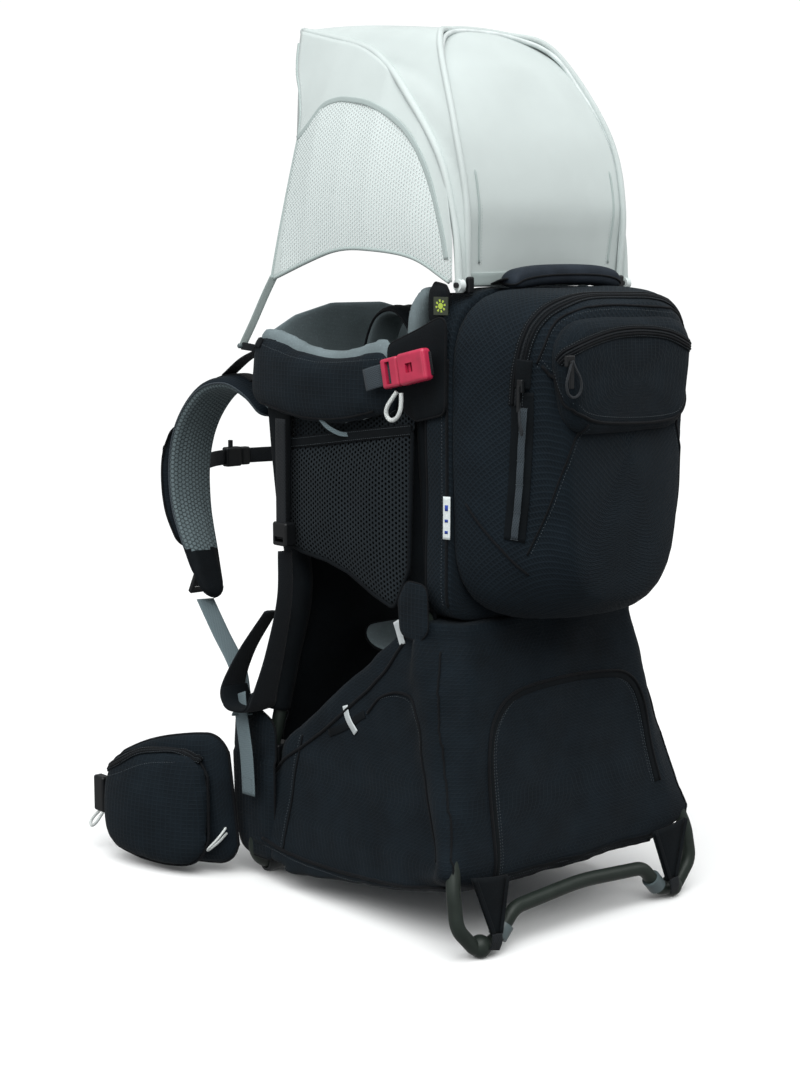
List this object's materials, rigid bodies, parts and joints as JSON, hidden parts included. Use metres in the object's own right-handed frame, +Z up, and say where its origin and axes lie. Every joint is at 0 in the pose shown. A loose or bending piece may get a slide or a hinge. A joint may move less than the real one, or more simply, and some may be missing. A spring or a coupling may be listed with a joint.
{
  "type": "baby carrier backpack",
  "caption": "Framed child-carrier backpack with a padded cockpit, folding sunshade, detachable daypack, adjustable harness, hip belt, foot stirrups and a fold-out kick-stand.",
  "frame": {"origin": "bottom centre of the standing carrier's bounding box, on the floor", "axes": "+Z up, +Y forward towards the wearer's back, +X to the wearer's right"},
  "size_m": [0.5506, 0.7174, 1.012],
  "materials": {
    "frame_tube": "satin dark olive powder coat",
    "joint_plastic": "fine textured",
    "foot_rubber": "matt",
    "pin_steel": "plain",
    "clip_grey": "satin",
    "body_fabric": "ripstop nylon with a soft sheen",
    "pad_fabric": "brushed knit",
    "spacer_mesh": "open spacer mesh",
    "pocket_mesh": "stretch mesh",
    "webbing_dark": "woven webbing",
    "webbing_grey": "woven webbing",
    "buckle_black": "moulded acetal",
    "buckle_grey": "moulded acetal",
    "buckle_red": "moulded acetal",
    "hoop_wire": "sprung wire",
    "shade_cloth": "light plain weave",
    "shade_mesh": "fine open mesh"
  },
  "bodies": {
    "root": {"front_frame_tube": "frame_tube", "front_feet": "foot_rubber", "side_rails": "frame_tube", "frame_joints": "joint_plastic", "cross_tubes": "frame_tube", "pivot_brackets": "joint_plastic", "pivot_pins": "pin_steel", "lower_bag_front": "body_fabric", "lower_bag_middle": "body_fabric", "back_panel": "spacer_mesh", "lumbar_pad": "spacer_mesh", "cockpit_side_pads": "body_fabric", "side_tabs": "body_fabric", "front_pad": "pad_fabric", "child_back_pad": "pad_fabric", "head_pad": "pad_fabric", "child_shoulder_pads": "pad_fabric", "chest_clip_female": "buckle_black", "side_buckle_females": "buckle_red", "mesh_pockets": "pocket_mesh", "stirrup_locks": "buckle_black", "rear_body": "body_fabric", "shade_hubs": "joint_plastic", "shade_rear_hoop": "hoop_wire", "shade_rear_panel": "shade_cloth"},
    "stand": {"stand_tube": "frame_tube", "stand_knuckles": "joint_plastic", "stand_clips": "clip_grey", "lower_bag_rear": "body_fabric"},
    "shade_front": {"shade_front_hoop": "hoop_wire", "shade_top": "shade_cloth", "shade_side_mesh": "shade_mesh", "shade_tethers": "webbing_grey"},
    "daypack": {"daypack_body": "body_fabric", "daypack_pocket": "body_fabric"},
    "main_zip": {"main_zip_slider": "buckle_grey"},
    "pocket_zip": {"pocket_zip_slider": "buckle_grey"},
    "handle": {"grab_handle": "body_fabric"},
    "harness": {"harness_yoke": "spacer_mesh", "shoulder_strap_left": "spacer_mesh", "shoulder_strap_right": "spacer_mesh", "strap_pouches": "body_fabric", "strap_adjusters": "buckle_black", "harness_webbing": "webbing_grey"},
    "sternum_left": {"sternum_strap_left": "webbing_dark", "sternum_female": "buckle_black"},
    "sternum_right": {"sternum_male": "buckle_black", "sternum_strap_right": "webbing_dark"},
    "seat": {"seat_saddle": "pad_fabric"},
    "chest_clip": {"chest_clip_male": "buckle_black"},
    "hip_left": {"hip_wing_left": "body_fabric", "hip_pouch_left": "body_fabric", "hip_buckle_female": "buckle_grey"},
    "hip_right": {"hip_wing_right": "body_fabric", "hip_pouch_right": "body_fabric", "hip_buckle_male": "buckle_grey"},
    "side_plug_left": {"side_buckle_male_left": "buckle_red"},
    "side_plug_right": {"side_buckle_male_right": "buckle_red"},
    "stirrup_left": {"stirrup_left": "webbing_dark"},
    "stirrup_right": {"stirrup_right": "webbing_dark"}
  },
  "joints": [
    {"name": "stand_fold", "type": "hinge", "parent": "root", "child": "stand", "pos_m": [0, -0.17325, 0.35], "axis": [1, 0, 0], "range_deg": [0, 35], "deforming": ["lower_bag_middle"]},
    {"name": "shade_fold", "type": "hinge", "parent": "root", "child": "shade_front", "pos_m": [0, -0.21225, 0.715], "axis": [1, 0, 0], "range_deg": [0, 40], "deforming": ["shade_top", "shade_side_mesh", "shade_tethers"]},
    {"name": "daypack_detach", "type": "slide", "parent": "root", "child": "daypack", "axis": [0, -1, 0], "range_m": [0, 0.3]},
    {"name": "main_zip_run", "type": "slide", "parent": "daypack", "child": "main_zip", "axis": [-0.0936, 0, 0.9956], "range_m": [0, 0.034]},
    {"name": "pocket_zip_run", "type": "hinge", "parent": "daypack", "child": "pocket_zip", "pos_m": [-0.012, -0.35125, 0.524], "axis": [0, 1, 0], "range_deg": [0, 78]},
    {"name": "handle_swing", "type": "hinge", "parent": "root", "child": "handle", "pos_m": [0, -0.21725, 0.716], "axis": [1, 0, 0], "range_deg": [-34, 0]},
    {"name": "torso_length", "type": "slide", "parent": "root", "child": "harness", "axis": [0, 0, 1], "range_m": [-0.05, 0.03], "deforming": ["harness_webbing"]},
    {"name": "sternum_height", "type": "slide", "parent": "harness", "child": "sternum_left", "axis": [0, 0, 1], "range_m": [-0.015, 0.015]},
    {"name": "sternum_release", "type": "slide", "parent": "sternum_left", "child": "sternum_right", "axis": [1, 0, 0], "range_m": [0, 0.018]},
    {"name": "seat_height", "type": "slide", "parent": "root", "child": "seat", "axis": [0, 0, 1], "range_m": [0, 0.06]},
    {"name": "chest_clip_release", "type": "slide", "parent": "root", "child": "chest_clip", "axis": [1, 0, 0], "range_m": [0, 0.02]},
    {"name": "hip_wing_left_flex", "type": "hinge", "parent": "root", "child": "hip_left", "pos_m": [-0.178, 0.11875, 0.096], "axis": [0, 0, 1], "range_deg": [-25, 8]},
    {"name": "hip_wing_right_flex", "type": "hinge", "parent": "root", "child": "hip_right", "pos_m": [0.178, 0.11875, 0.096], "axis": [0, 0, 1], "range_deg": [-8, 25]},
    {"name": "side_plug_left_release", "type": "slide", "parent": "root", "child": "side_plug_left", "axis": [0, 0.9781, -0.2079], "range_m": [0, 0.018]},
    {"name": "side_plug_right_release", "type": "slide", "parent": "root", "child": "side_plug_right", "axis": [0, 0.9781, -0.2079], "range_m": [0, 0.018]},
    {"name": "stirrup_left_swing", "type": "hinge", "parent": "root", "child": "stirrup_left", "pos_m": [-0.168, 0.04375, 0.415], "axis": [1, 0, 0], "range_deg": [-20, 25]},
    {"name": "stirrup_right_swing", "type": "hinge", "parent": "root", "child": "stirrup_right", "pos_m": [0.168, 0.04375, 0.415], "axis": [1, 0, 0], "range_deg": [-20, 25]}
  ]
}
